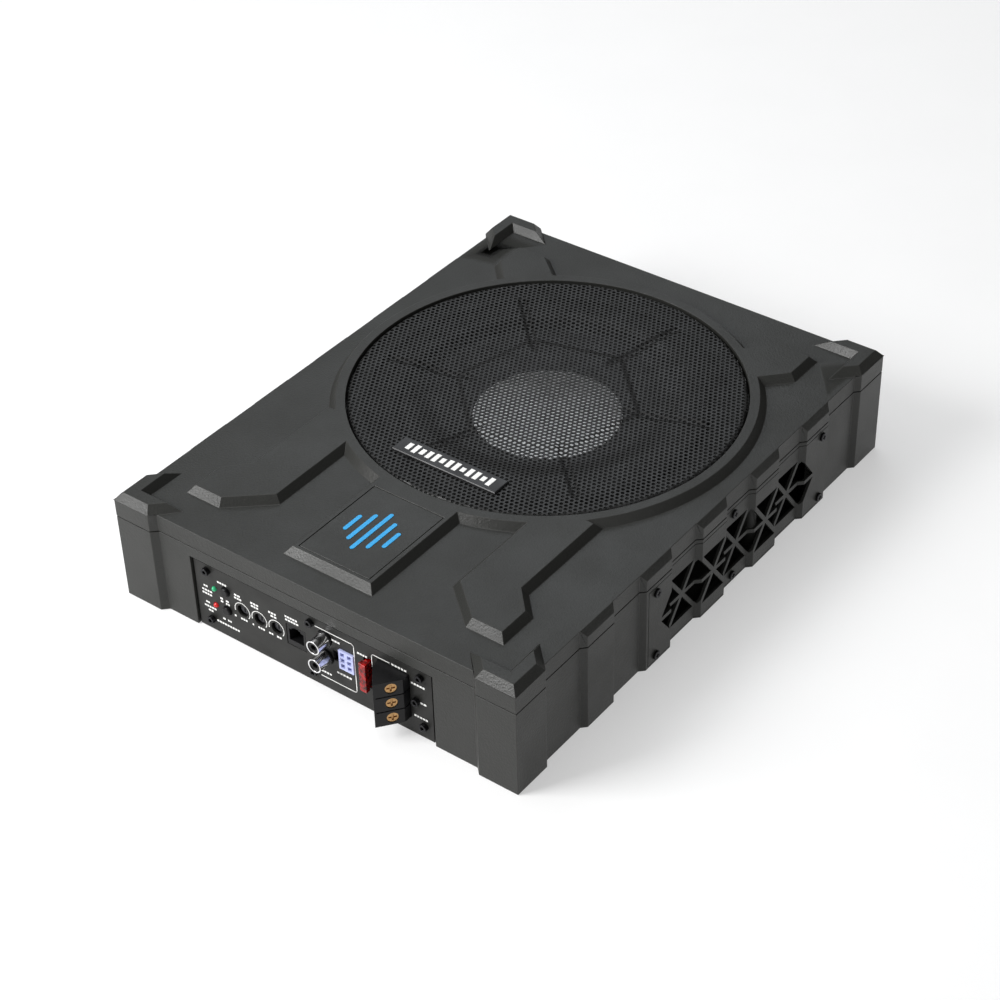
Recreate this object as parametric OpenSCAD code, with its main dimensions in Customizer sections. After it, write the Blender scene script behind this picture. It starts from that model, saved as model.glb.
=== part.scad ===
// Powered under-seat car subwoofer: a flat two-part housing with a shallow driver behind a
// round grille, an amplifier behind the control panel and a vent on each long side.
// X runs along the control panel, Y runs from the panel to the back, Z is up.
// The origin is the centre of the flat underside.

/* [Housing] */
// Length of the housing, from the panel side to the back
body_l = 345; // [340:1:350]
// Width of the housing across the vents
body_w = 262; // [260:1:266]
// Height of the seam between the lower shell and the lid
seam_z = 53; // [52:0.5:54]
// Height of the lid's flat top
lid_top = 64; // [63.5:0.5:65]
// Height of the raised relief over the lid's flat top
relief_h = 4.4; // [3.5:0.1:4.6]
// Wall thickness of both mouldings
wall = 3; // [2.5:0.1:3.2]
// How far the side ribs stand out of the side walls
rib_out = 2.8; // [2:0.1:3]
// How far the corner guards stand out of the front and back walls
guard_out = 3.5; // [3:0.1:4]

/* [Driver] */
// How far the driver's axis lies behind the middle of the housing
driver_y = 32.5; // [30:0.5:34]
// Radius of the grille
grille_r = 110.3; // [109:0.1:110.4]
// Outer radius of the cone
cone_r = 80; // [79:0.5:81]
// Radius of the dust cap
cap_r = 41.5; // [38:0.5:43]
// Radius of the magnet
magnet_r = 55; // [50:1:58]
// Travel of the cone to each side of rest
cone_travel = 5; // [3:0.5:5]

/* [Control panel] */
// Left end of the panel
panel_x = -82; // [-83:0.5:-81]
// Width of the panel
panel_w = 157.6; // [157:0.1:158]
// Height of the panel
panel_h = 44.1; // [44:0.1:44.5]
// Distance between the two RCA inputs
rca_pitch = 12.1; // [12:0.1:14]
// Distance between the three level controls
pot_pitch = 11.7; // [11:0.1:12.5]
// Distance between the three power terminals
terminal_pitch = 9.7; // [9:0.1:10]

/* [Vents] */
// Distance between the side ribs, centre to centre
rib_pitch = 51.3; // [50:0.1:52]
// Width of a vent bar
vent_bar = 2.4; // [1.8:0.1:3]

/* [Hidden] */
$fn = 96;

// Colours
shell_grey = [0.28, 0.28, 0.27];
black = [0.05, 0.05, 0.055];
steel = [0.70, 0.71, 0.73];
brass = [0.80, 0.63, 0.32];
blue = [0.20, 0.62, 0.90];
board_green = [0.05, 0.30, 0.16];

// Housing
half_w = body_w / 2;
half_l = body_l / 2;
guard_len = 24;
rib_half = 11.3;
rib_slope_h = 4;
seam_gap = 0.5;
relief_top = lid_top + relief_h;
relief_run = 3.6;
ring_out_r = 120;
plateau_half_w = 29.2;
plateau_y = -154.6;
emblem_size = [45.6, 59.8];
emblem_at = [-22.8, -148.8];
emblem_gap = 0.3;
emblem_sink = 1.2;
floor_t = 3;
front_wall = 5;
inner_x = half_w - rib_out - wall;
inner_y0 = -half_l + guard_out + front_wall;
inner_y1 = half_l - guard_out - wall;
lid_screw_x = 118;
lid_screw_y = [-156, -55, 55, 156];
lid_screw_r = 1.6;
insert_x = [-90, 90];
insert_y = [-135, 135];
board_post_x = [-70, 70];
board_post_y = [-152, -106];

// Driver well in the lid
pocket_r = 110.9;
grille_seat = 62.6;
well_r = 101;
driver_seat = 56.5;
well_open_r = 92;
driver_bolt_r = 97;
driver_bolts = 8;

// Grille: a flat rim, then a shallow dish
grille_top = relief_top - 0.6;
grille_t = 0.8;
grille_bend = 2.4;
dish_out = 78;
dish_in = 62;
dish_depth = 2.2;
badge_size = [69, 12.5];
badge_at = [-2, -52];
badge_t = 1.4;

// Driver
flange_t = 1.2;
flange_r = 100.4;
flange_in_r = 86;
surround_out_r = 93;
surround_h = cone_travel + 0.5;
cone_rim_z = driver_seat + flange_t + 0.3;
cone_neck_r = 25.4;
cone_neck_z = 48.5;
cone_t = 1;
top_plate_t = 6;
former_r = 24.6;
former_t = 0.35;
coil_t = 0.8;
coil_h = top_plate_t + 2 * (cone_travel - 1);
pole_r = 23.5;
plate_bore_r = 26.2;
yoke_z = 5.5;
yoke_t = 5;
magnet_h = 12;
magnet_z = yoke_z + yoke_t;
top_plate_z = magnet_z + magnet_h;
basket_z = top_plate_z + top_plate_t;
damper_r = 62;
damper_z = 38;

// Panel
panel_t = 1.5;
panel_y = -half_l + guard_out + 1.4;
panel_back = panel_y + panel_t;
panel_z0 = 0.4;
panel_gap_left = 1;
panel_gap_right = 1.7;
panel_gap_top = 1.8;
button_x = -60.8;
phase_z = 32;
turn_on_z = 19.2;
button_r = 2.6;
button_travel = 1.8;
switch_depth = 9;
switch_gap = button_travel + 0.8;
led_x = -69;
led_green_z = 30;
led_red_z = 19;
pot_x = [for (i = [0:2]) -50 + pot_pitch * i];
pot_z = 24.1;
pot_hole_r = 3.6;
pot_body_y = panel_back + 1.2;
knob_r = 3;
remote_x = -13.1;
remote_z = 24.5;
remote_face = [12.6, 13.2];
rca_x = 6.9;
rca_z = [34.7, 34.7 - rca_pitch];
rca_reach = 9.6;
rca_r = 4.15;
high_x = 20.8;
high_z = 26;
high_depth = 7;
high_pin_x = [-2.2, 2.2];
high_pin_z = [-3.7, 0, 3.7];
fuse_x = 35;
fuse_z = 26;
fuse_face = panel_y - 5.2;
fuse_body_l = 6.4;
block_x = 41;
block_z = 10;
block_h = 28.4;
block_out = 16.5;
block_plan = [
    [block_x + 0.6, panel_t + 10], [block_x + 0.6, -1], [block_x + 2, -6],
    [block_x + 10.5, -block_out], [block_x + 20, -4.4], [block_x + 20, panel_t + 10]
];
screw_dir = unit([block_out - 4.4, -9.5]);
wire_dir = unit([-(block_out - 6), -8.5]);
face_mid = [block_x + 16.2, -9.24];
wire_mid = [block_x + 6.25, -11.25];
terminal_z = [for (i = [1, 0, -1]) block_z + block_h / 2 + terminal_pitch * i];
terminal_head_r = 3.1;
terminal_head_depth = 2.5;
wire_l = 2.6;
board_z = 7;
board_t = 1.6;
board_top = board_z + board_t;
panel_screw_at = [
    [-72.8, 40.6], [-72.8, 7.8], [-2.2, 40.8], [-1.8, 7.9], [68.8, 40.6], [69.8, 8.4], [65.6, 23.4]
];
sink_y = -112;
partition_y = -98;
lead_x = 60;
lead_z = 20;

// Vents
vent_step = rib_pitch / 2;
vent_mid_y = vent_step;
vent_z = 25.2;
vent_half_h = 17;
vent_plate_t = 1.6;
vent_y0 = -60.5;
vent_y1 = 118;
vent_z0 = 1.4;
vent_z1 = 50.4;
vent_screw_depth = 3;
vent_screw_at = [for (y = [-53.6, 23, 108]) for (z = [4.8, 46.6]) [y, z]];

// --- Outlines -------------------------------------------------------------------------

// Outline of the housing seen from above, drawn in by t: corner guards and five side ribs
function right_side(t) = [
    [half_w - guard_len - guard_out, -half_l + guard_out + t],
    [half_w - guard_len, -half_l + t],
    [half_w - t, -half_l + t],
    [half_w - t, -half_l + guard_len],
    [half_w - rib_out - t, -half_l + guard_len + rib_out],
    for (i = [-2:2]) each [
        [half_w - rib_out - t, rib_pitch * i - rib_half - rib_out],
        [half_w - t, rib_pitch * i - rib_half],
        [half_w - t, rib_pitch * i + rib_half],
        [half_w - rib_out - t, rib_pitch * i + rib_half + rib_out]
    ],
    [half_w - rib_out - t, half_l - guard_len - rib_out],
    [half_w - t, half_l - guard_len],
    [half_w - t, half_l - t],
    [half_w - guard_len, half_l - t],
    [half_w - guard_len - guard_out, half_l - guard_out - t]
];
function housing_outline(t = 0) = concat(
    right_side(t),
    [for (i = [len(right_side(t)) - 1:-1:0]) [-right_side(t)[i][0], right_side(t)[i][1]]]
);

// Where two lines meet, each through a point with a direction
function cross2(a, b) = a[0] * b[1] - a[1] * b[0];
function meet(p, u, q, v) = p + u * cross2(q - p, v) / cross2(u, v);
function unit(v) = v / norm(v);
function inward(a, b) = [-unit(b - a)[1], unit(b - a)[0]];
// A counter-clockwise outline with every side moved in by w
function drawn_in(p, w) = [
    for (i = [0:len(p) - 1])
        let (a = p[(i + len(p) - 1) % len(p)], b = p[i], c = p[(i + 1) % len(p)])
        meet(b + inward(a, b) * w, b - a, b + inward(b, c) * w, c - b)
];
// A solid between two outlines with the same number of points
module slab(low, high, z0, z1) {
    n = len(low);
    polyhedron(
        points = concat([for (p = low) [p[0], p[1], z0]], [for (p = high) [p[0], p[1], z1]]),
        faces = concat(
            [[for (i = [0:n - 1]) i]],
            [[for (i = [n - 1:-1:0]) n + i]],
            [for (i = [0:n - 1]) [i, n + i, n + (i + 1) % n, (i + 1) % n]]
        )
    );
}
// A raised field with sloping sides on the lid's flat top
module field(outline) {
    slab(drawn_in(outline, -relief_run * 0.5 / relief_h), drawn_in(outline, relief_run),
        lid_top - 0.5, relief_top);
}
module tube(r_out, r_in, h) {
    difference() {
        cylinder(r = r_out, h = h);
        translate([0, 0, -1]) cylinder(r = r_in, h = h + 2);
    }
}
// A round piece that stands out along -Y from a point
module along_front(x, y, z) {
    translate([x, y, z]) rotate([90, 0, 0]) children();
}
module at_driver() {
    translate([0, driver_y, 0]) children();
}
module at_bolts() {
    for (i = [0:driver_bolts - 1]) rotate([0, 0, (i + 0.5) * 360 / driver_bolts]) children();
}
module both_sides() {
    children();
    mirror([1, 0, 0]) children();
}

// --- Housing --------------------------------------------------------------------------

module lid_posts(r, z0, z1) {
    for (x = [-lid_screw_x, lid_screw_x], y = lid_screw_y)
        translate([x, y, z0]) cylinder(r = r, h = z1 - z0, $fn = 48);
}
module vent_opening() {
    translate([inner_x - 0.5, vent_mid_y - 3 * vent_step + 1.5, vent_z - vent_half_h - 0.8])
        cube([20, 6 * vent_step - 3, 2 * vent_half_h + 1.6]);
}
module vent_recess() {
    intersection() {
        translate([0, vent_y0 - 0.2, vent_z0 - 0.2])
            cube([half_w + 5, vent_y1 - vent_y0 + 0.4, vent_z1 - vent_z0 + 0.4]);
        translate([0, 0, -1]) linear_extrude(height = seam_z + 2) difference() {
            polygon(housing_outline(-1));
            polygon(housing_outline(vent_plate_t + 0.1));
        }
    }
}
// Lands behind the panel that its screws bite into
module panel_bosses() {
    for (p = panel_screw_at) {
        up = p[1] > 30;
        side = p[1] > 10 && !up;
        translate([p[0] - 3, panel_back - 3, side ? p[1] - 3 : up ? p[1] - 3 : 0])
            cube([side ? 20 : 6, front_wall + 6, side ? 6 : up ? 12 : p[1] + 3]);
    }
}
module lower_shell() {
    color(shell_grey) difference() {
        union() {
            difference() {
                linear_extrude(height = seam_z) polygon(housing_outline());
                translate([-inner_x, inner_y0, floor_t])
                    cube([2 * inner_x, inner_y1 - inner_y0, seam_z]);
            }
            lid_posts(4.5, floor_t - 0.5, seam_z);
            for (x = insert_x, y = insert_y)
                translate([x, y, floor_t - 0.5]) cylinder(r = 6, h = 9.5, $fn = 48);
            for (x = board_post_x, y = board_post_y)
                translate([x, y, floor_t - 0.5])
                    cylinder(r = 3.5, h = board_z - floor_t + 0.5, $fn = 48);
            both_sides() for (p = vent_screw_at)
                translate([inner_x - 4, p[0], p[1]]) rotate([0, 90, 0])
                    cylinder(r = 3, h = 4.5, $fn = 32);
        }
        translate([panel_x - panel_gap_left, -half_l - 1, -1])
            cube([
                panel_w + panel_gap_left + panel_gap_right, panel_back + half_l + 1,
                panel_z0 + panel_h + panel_gap_top + 1
            ]);
        difference() {
            translate([panel_x + 5, panel_back - 2, 5])
                cube([panel_w - 10, front_wall + 4, 38]);
            panel_bosses();
        }
        both_sides() {
            vent_recess();
            vent_opening();
            for (p = vent_screw_at)
                translate([inner_x - vent_screw_depth, p[0], p[1]]) rotate([0, 90, 0])
                    cylinder(r = 1.1, h = 14, $fn = 32);
        }
        lid_posts(lid_screw_r, -1, seam_z + 1);
        lid_posts(3.6, -1, 4);
        for (x = insert_x, y = insert_y)
            translate([x, y, -1]) cylinder(r = 3.5, h = 11, $fn = 48);
        for (p = panel_screw_at)
            along_front(p[0], panel_back + front_wall, p[1])
                cylinder(r = 1.1, h = front_wall + 2, $fn = 32);
    }
}
module ring_profile() {
    polygon([
        [pocket_r - 3, lid_top - 0.5], [ring_out_r + relief_run * 0.5 / relief_h, lid_top - 0.5],
        [ring_out_r - relief_run, relief_top], [pocket_r - 3, relief_top]
    ]);
}
// One L-shaped corner guard on top of the lid, at the front right
module corner_guard() {
    leg = [[0, 0], [24, 0], [37.4, 13.4], [0, 13.4]];
    top = [[3.8, 3.6], [21.6, 3.6], [28.2, 10.2], [3.8, 10.2]];
    module leg_solid() {
        slab(leg, top, 0, relief_h);
        translate([0, 0, -1]) linear_extrude(height = 1.02) polygon(leg);
    }
    translate([half_w, -half_l, lid_top]) {
        mirror([1, 0, 0]) leg_solid();
        rotate([0, 0, 90]) leg_solid();
    }
}
module arms() {
    straight = [[56.9, -120], [91.9, -120], [91.9, -45], [56.9, -45]];
    foot = [
        [56.9, -125.3], [81, -145.9], [104.1, -145.9],
        [104.1, -121.9], [79, -95.2], [56.9, -95.2]
    ];
    for (m = [0, 1]) mirror([m, 0, 0]) {
        field(straight);
        field(foot);
        mirror([0, 1, 0]) field(foot);
    }
}
module relief() {
    at_driver() rotate_extrude($fn = 180) ring_profile();
    arms();
    field([
        [-plateau_half_w, plateau_y], [plateau_half_w, plateau_y],
        [plateau_half_w, -60], [-plateau_half_w, -60]
    ]);
    for (m = [0, 1], n = [0, 1]) mirror([m, 0, 0]) mirror([0, n, 0]) corner_guard();
}
// What is cut off the tops of the side ribs, so that they slope in to the lid's straight edge
module rib_slopes() {
    reach = half_l - guard_len - rib_out;
    lean = (rib_out - 0.1) / rib_slope_h;
    both_sides() translate([0, reach, 0]) rotate([90, 0, 0]) linear_extrude(height = 2 * reach)
        polygon([
            [half_w - rib_slope_h * lean - lean, lid_top + 1], [half_w + lean, lid_top - rib_slope_h - 1],
            [half_w + lean, lid_top + 1]
        ]);
}
module lid() {
    color(shell_grey) difference() {
        union() {
            difference() {
                translate([0, 0, seam_z + seam_gap])
                    linear_extrude(height = lid_top - seam_z - seam_gap) polygon(housing_outline());
                translate([-inner_x, inner_y0, seam_z - 1])
                    cube([2 * inner_x, inner_y1 - inner_y0, lid_top - wall - seam_z + 1]);
            }
            relief();
            lid_posts(4.5, seam_z + seam_gap, lid_top - 1);
            at_driver() translate([0, 0, driver_seat - 3])
                tube(well_r + wall, well_open_r, lid_top - driver_seat + 2);
        }
        at_driver() {
            translate([0, 0, grille_seat]) cylinder(r = pocket_r, h = 20);
            translate([0, 0, driver_seat]) cylinder(r = well_r, h = 20);
            translate([0, 0, driver_seat - 10]) cylinder(r = well_open_r, h = 20);
            at_bolts() translate([driver_bolt_r, 0, driver_seat - 10])
                cylinder(r = 1.7, h = 20, $fn = 32);
        }
        rib_slopes();
        lid_posts(1.25, seam_z - 1, lid_top - 2);
        translate([emblem_at[0] - emblem_gap, emblem_at[1] - emblem_gap, relief_top - emblem_sink])
            cube([emblem_size[0] + 2 * emblem_gap, emblem_size[1] + 2 * emblem_gap, 5]);
    }
}
module lid_gasket() {
    color(black) translate([0, 0, seam_z]) linear_extrude(height = seam_gap) difference() {
        translate([-inner_x - 2, inner_y0 - 2]) square([2 * inner_x + 4, inner_y1 - inner_y0 + 4]);
        translate([-inner_x - 0.5, inner_y0 - 0.5]) square([2 * inner_x + 1, inner_y1 - inner_y0 + 1]);
    }
}
module emblem_plate() {
    color(shell_grey) translate([emblem_at[0], emblem_at[1], relief_top - emblem_sink])
        cube([emblem_size[0], emblem_size[1], emblem_sink - 0.1]);
}
// Generic mark: a rising set of bars
module emblem_mark() {
    bars = [14, 24, 34, 24, 14];
    color(blue) for (i = [0:len(bars) - 1])
        translate([(i - 2) * 6.4, -118.9, relief_top - 0.1]) linear_extrude(height = 0.25) {
            square([2.4, bars[i] - 2.4], center = true);
            for (s = [-1, 1]) translate([0, s * (bars[i] / 2 - 1.2)]) circle(r = 1.2, $fn = 24);
        }
}
// Triangular cells of one vent: rows of triangles above and below the middle bar
function scaled_cell(a, b, c, w) =
    let (la = norm(b - c), lb = norm(c - a), lc = norm(a - b), s = la + lb + lc,
        o = (a * la + b * lb + c * lc) / s, r = abs(cross2(b - a, c - a)) / s, k = (r - w) / r)
    [o + (a - o) * k, o + (b - o) * k, o + (c - o) * k];
function vent_point(i, j) = [vent_mid_y + vent_step * i, vent_z + vent_half_h * j];
function vent_cells() = [
    for (j = [-1, 1]) each [
        for (i = [-3:2])
            scaled_cell(vent_point(i, 0), vent_point(i + 1, 0), vent_point(i + 0.5, j), vent_bar / 2),
        for (i = [-2.5:1.5])
            scaled_cell(vent_point(i, j), vent_point(i + 1, j), vent_point(i + 0.5, 0), vent_bar / 2)
    ]
];
module vent_grille() {
    color(shell_grey) difference() {
        intersection() {
            translate([0, vent_y0, vent_z0]) cube([half_w + 1, vent_y1 - vent_y0, vent_z1 - vent_z0]);
            linear_extrude(height = seam_z) difference() {
                polygon(housing_outline());
                polygon(housing_outline(vent_plate_t));
            }
        }
        translate([0, 0, -1]) linear_extrude(height = 80)
            square([2 * (half_w - rib_out - vent_plate_t) - 4, 400], center = true);
        for (cell = vent_cells())
            translate([half_w - 12, 0, 0]) rotate([90, 0, 90])
                linear_extrude(height = 20) polygon(cell);
        for (p = vent_screw_at)
            translate([half_w - 12, p[0], p[1]]) rotate([0, 90, 0])
                cylinder(r = 1.6, h = 20, $fn = 32);
    }
}
module vent_grille_right() {
    vent_grille();
}
module vent_grille_left() {
    mirror([1, 0, 0]) vent_grille();
}
// Pan-head screw: head seated at z = 0, shank below
module screw(head_r, head_h, shank_r, shank_l) {
    difference() {
        union() {
            cylinder(r = head_r, h = head_h, $fn = 32);
            translate([0, 0, -shank_l]) cylinder(r = shank_r, h = shank_l + 0.1, $fn = 24);
        }
        for (a = [0, 90]) rotate([0, 0, a])
            translate([-head_r * 0.55, -head_r * 0.13, head_h * 0.45])
                cube([head_r * 1.1, head_r * 0.26, head_h]);
    }
}
// Cap screw with a hexagonal socket
module cap_screw(head_r, head_h, socket_w, shank_r, shank_l) {
    difference() {
        union() {
            cylinder(r = head_r, h = head_h, $fn = 48);
            translate([0, 0, -shank_l]) cylinder(r = shank_r, h = shank_l + 0.1, $fn = 24);
        }
        translate([0, 0, head_h * 0.4]) cylinder(d = socket_w / cos(30), h = head_h, $fn = 6);
    }
}
// The rib's outer face or the wall between ribs carries each vent screw
function vent_screw_x(y) =
    let (d = abs(y / rib_pitch - round(y / rib_pitch)) * rib_pitch)
    d < rib_half ? half_w : half_w - rib_out;
module vent_screws() {
    color(black) both_sides() for (p = vent_screw_at)
        translate([vent_screw_x(p[0]) + 0.05, p[0], p[1]]) rotate([0, 90, 0]) screw(2.6, 1.3, 1.0, 5);
}
module housing_screws() {
    color(black) for (x = [-lid_screw_x, lid_screw_x], y = lid_screw_y)
        translate([x, y, 4]) rotate([180, 0, 0]) screw(3, 2.2, 1.2, 54);
}
module bracket_inserts() {
    color(brass) for (x = insert_x, y = insert_y)
        translate([x, y, 0.4]) tube(3.45, 2.1, 9, $fn = 48);
}
module partition() {
    color(shell_grey) difference() {
        translate([-inner_x + 0.3, partition_y, floor_t])
            cube([2 * inner_x - 0.6, 2.5, lid_top - wall - floor_t - 0.2]);
        translate([lead_x, partition_y - 1, lead_z]) rotate([-90, 0, 0]) cylinder(r = 3, h = 5, $fn = 32);
    }
}

// --- Grille ---------------------------------------------------------------------------

function arc(cx, cy, r, a0, a1, n) = [
    for (i = [0:n])
        let (a = a0 + (a1 - a0) * i / n)
        [cx + r * cos(a), cy + r * sin(a)]
];
module grille() {
    outer = concat(
        [[grille_r, grille_seat + 0.05]],
        arc(grille_r - grille_bend, grille_top - grille_bend, grille_bend, 0, 90, 6),
        [[dish_out, grille_top], [dish_in, grille_top - dish_depth], [0, grille_top - dish_depth]]
    );
    inner = concat(
        [[0, grille_top - dish_depth - grille_t], [dish_in, grille_top - dish_depth - grille_t],
            [dish_out, grille_top - grille_t]],
        arc(grille_r - grille_bend, grille_top - grille_bend, grille_bend - grille_t, 90, 0, 6),
        [[grille_r - grille_t, grille_seat + 0.05]]
    );
    color(black) at_driver() rotate_extrude($fn = 180) polygon(concat(outer, inner));
}
module grille_badge() {
    color(black) translate([badge_at[0], badge_at[1], grille_top + 0.02])
        linear_extrude(height = badge_t) square(badge_size, center = true);
}

// --- Driver ---------------------------------------------------------------------------

module driver_basket() {
    land_t = 1.4;
    hub_r = 28;
    color(black) at_driver() difference() {
        rotate_extrude() polygon([
            [flange_in_r + 2.2, driver_seat], [flange_r, driver_seat], [flange_r, driver_seat + flange_t],
            [flange_in_r + 0.6, driver_seat + flange_t], [damper_r + 5.6, damper_z],
            [damper_r - 5, damper_z], [52.6, basket_z + land_t], [hub_r, basket_z + land_t],
            [hub_r, basket_z], [53.6, basket_z], [damper_r - 4, damper_z - land_t],
            [damper_r + 6.6, damper_z - land_t]
        ]);
        at_bolts() translate([driver_bolt_r, 0, driver_seat - 5])
            cylinder(r = 2, h = 10, $fn = 32);
        for (i = [0:5]) rotate([0, 0, i * 60]) translate([68, -20, 39.5]) cube([16, 40, 13]);
    }
}
module basket_gasket() {
    color(black) at_driver() translate([0, 0, driver_seat + flange_t]) difference() {
        tube(flange_r, surround_out_r + 0.3, 2);
        at_bolts() translate([driver_bolt_r, 0, -1])
            cylinder(r = 2.6, h = 5, $fn = 32);
    }
}
module surround() {
    t = 0.8;
    mid = (cone_r + 2 + surround_out_r - 3) / 2;
    half = (surround_out_r - 3 - cone_r - 2) / 2;
    z = driver_seat + flange_t;
    function roll(w, n) = [
        for (i = [0:n])
            let (a = 180 * i / n)
            [mid - (half + w) * cos(a), z + 0.3 + (surround_h + w) * sin(a)]
    ];
    color(black) at_driver() rotate_extrude() polygon(concat(
        [[surround_out_r, z], [surround_out_r, z + t], [surround_out_r - 2.4, z + t]],
        [for (i = [12:-1:0]) roll(t / 2, 12)[i]],
        [[cone_r - 3, z + 0.3 + t], [cone_r - 3, z + 0.3]],
        roll(-t / 2, 12)
    ));
}
module damper() {
    rolls = 7;
    n = 56;
    r0 = former_r + former_t + 0.02;
    cloth_t = 0.5;
    wave_w = damper_r - 5 - r0;
    function wave_r(i) = r0 + wave_w * i / n;
    function wave(r) = 1.1 * sin((r - r0) * rolls * 360 / wave_w);
    color([0.72, 0.58, 0.33]) at_driver() rotate_extrude() polygon(concat(
        [for (i = [0:n]) [wave_r(i), damper_z + cloth_t + wave(wave_r(i))]],
        [[damper_r + 3, damper_z + cloth_t], [damper_r + 3, damper_z]],
        [for (i = [n:-1:0]) [wave_r(i), damper_z + wave(wave_r(i))]]
    ));
}
module top_plate() {
    color(steel) at_driver() translate([0, 0, top_plate_z])
        tube(magnet_r - 4, plate_bore_r, top_plate_t);
}
module magnet() {
    color([0.2, 0.2, 0.21]) at_driver() translate([0, 0, magnet_z]) tube(magnet_r, 31, magnet_h);
}
module yoke() {
    color(steel) at_driver() difference() {
        union() {
            translate([0, 0, yoke_z]) cylinder(r = magnet_r - 4, h = yoke_t);
            translate([0, 0, yoke_z]) cylinder(r = pole_r, h = basket_z - yoke_z);
        }
        translate([0, 0, yoke_z - 1]) cylinder(r = 8, h = 40);
    }
}
module driver_screws() {
    color(black) at_driver() at_bolts()
        translate([driver_bolt_r, 0, driver_seat + flange_t]) screw(2.4, 1.8, 1.5, 8);
}
module driver_terminals() {
    color(brass) at_driver() for (s = [-1, 1])
        rotate([0, 0, 270 + s * 5]) translate([damper_r + 1.4, -1.2, damper_z - 5.2]) cube([1, 2.4, 3.8]);
}
// Two insulated leads from the driver's terminals through the partition to the board
module lead(points, r) {
    for (i = [0:len(points) - 2]) {
        d = points[i + 1] - points[i];
        translate(points[i]) rotate([0, acos(d[2] / norm(d)), atan2(d[1], d[0])])
            cylinder(r = r, h = norm(d), $fn = 24);
        if (i > 0) translate(points[i]) sphere(r = 1.3 * r, $fn = 24);
    }
}
module speaker_leads() {
    colors = [[0.7, 0.1, 0.1], black];
    for (s = [-1, 1]) color(colors[(s + 1) / 2])
        lead([
            [s * 5.6, driver_y - damper_r - 1.6, damper_z - 6],
            [s * 4 + 2, driver_y - damper_r - 12, lead_z + 2 + s * 1.3],
            [lead_x, partition_y + 14, lead_z + s * 1.3],
            [lead_x, partition_y - 5 - s * 2, lead_z + s * 1.3],
            [lead_x + s * 2, partition_y - 8.5 - s * 2, board_top + 1.2]
        ], 0.8);
}
module cone() {
    color(black) at_driver() rotate_extrude() polygon([
        [cone_neck_r, cone_neck_z - 3], [cone_neck_r + cone_t, cone_neck_z - 3],
        [cone_neck_r + cone_t + 1, cone_neck_z - 0.6], [cone_r, cone_rim_z - cone_t],
        [cone_r, cone_rim_z], [cone_neck_r, cone_neck_z + 0.6]
    ]);
}
module dust_cap() {
    slope = (cone_rim_z - cone_neck_z - 0.6) / (cone_r - cone_neck_r);
    rim = cone_neck_z + 0.6 + slope * (cap_r - cone_neck_r);
    dome = 3.2;
    n = 10;
    function cap_z(r) = rim + dome * (1 - pow(r / cap_r, 2));
    color([0.78, 0.78, 0.79]) at_driver() rotate_extrude() polygon(concat(
        [for (i = [0:n]) [cap_r * i / n, cap_z(cap_r * i / n) + 0.7]],
        [[cap_r, rim + 0.05]],
        [for (i = [n:-1:0]) [(cap_r - 1.2) * i / n, cap_z((cap_r - 1.2) * i / n)]]
    ));
}
module coil_former() {
    color([0.62, 0.42, 0.18]) at_driver() translate([0, 0, top_plate_z - 4])
        tube(former_r + former_t, former_r, cone_neck_z - top_plate_z + 4);
}
module voice_coil() {
    color([0.72, 0.36, 0.16]) at_driver() translate([0, 0, top_plate_z - 4])
        tube(former_r + former_t + coil_t, former_r + former_t, coil_h);
}

// --- Control panel --------------------------------------------------------------------

module round_hole(x, z, r) {
    along_front(x, panel_back + 1, z) cylinder(r = r, h = panel_t + 2, $fn = 48);
}
module slot_hole(x, z, w, h) {
    translate([x - w / 2, panel_y - 1, z - h / 2]) cube([w, panel_t + 2, h]);
}
module control_panel() {
    color(shell_grey) difference() {
        translate([panel_x, panel_y, panel_z0]) cube([panel_w, panel_t, panel_h]);
        for (p = panel_screw_at) round_hole(p[0], p[1], 1.5);
        round_hole(led_x, led_green_z, 1.6);
        round_hole(led_x, led_red_z, 1.6);
        round_hole(button_x, phase_z, button_r + 0.3);
        round_hole(button_x, turn_on_z, button_r + 0.3);
        for (x = pot_x) round_hole(x, pot_z, pot_hole_r);
        slot_hole(remote_x, remote_z, remote_face[0] + 0.6, remote_face[1] + 0.6);
        for (z = rca_z) round_hole(rca_x, z, 4.8);
        slot_hole(high_x, high_z, 10.2, 13);
        slot_hole(high_x - 6.5, high_z, 5, 6.4);
        slot_hole(fuse_x, fuse_z, 6, 20.4);
        slot_hole(block_x + 10.3, block_z + block_h / 2, 20.2, block_h + 0.4);
    }
}
module panel_screws() {
    color(black) for (p = panel_screw_at)
        along_front(p[0], panel_y, p[1]) cap_screw(2.3, 2.5, 2.1, 1.05, 5);
}
module led(x, z) {
    along_front(x, panel_back + 4.5, z) {
        cylinder(r = 1.5, h = 6, $fn = 32);
        translate([0, 0, 6]) intersection() {
            sphere(r = 1.5, $fn = 32);
            cylinder(r = 1.5, h = 1.5, $fn = 32);
        }
        cylinder(r = 1.9, h = 1, $fn = 32);
    }
}
module led_green() {
    color([0.1, 0.75, 0.45]) led(led_x, led_green_z);
}
module led_red() {
    color([0.9, 0.1, 0.1]) led(led_x, led_red_z);
}
module switch_bodies() {
    color(black) for (z = [phase_z, turn_on_z]) difference() {
        translate([button_x - 4, panel_back + 0.6, z - 4]) cube([8, switch_depth + 5, 8]);
        along_front(button_x, panel_back + switch_depth + switch_gap, z)
            cylinder(r = button_r + 0.25, h = 40, $fn = 48);
    }
}
module button(z) {
    reach = 1.9;
    along_front(button_x, panel_back + switch_depth, z) {
        cylinder(r = button_r, h = switch_depth + panel_t + reach - 0.5, $fn = 48);
        translate([0, 0, switch_depth + panel_t + reach - 0.52])
            cylinder(r1 = button_r, r2 = button_r - 0.5, h = 0.52, $fn = 48);
    }
}
module phase_button() {
    color(black) button(phase_z);
}
module turn_on_button() {
    color(black) button(turn_on_z);
}
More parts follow.
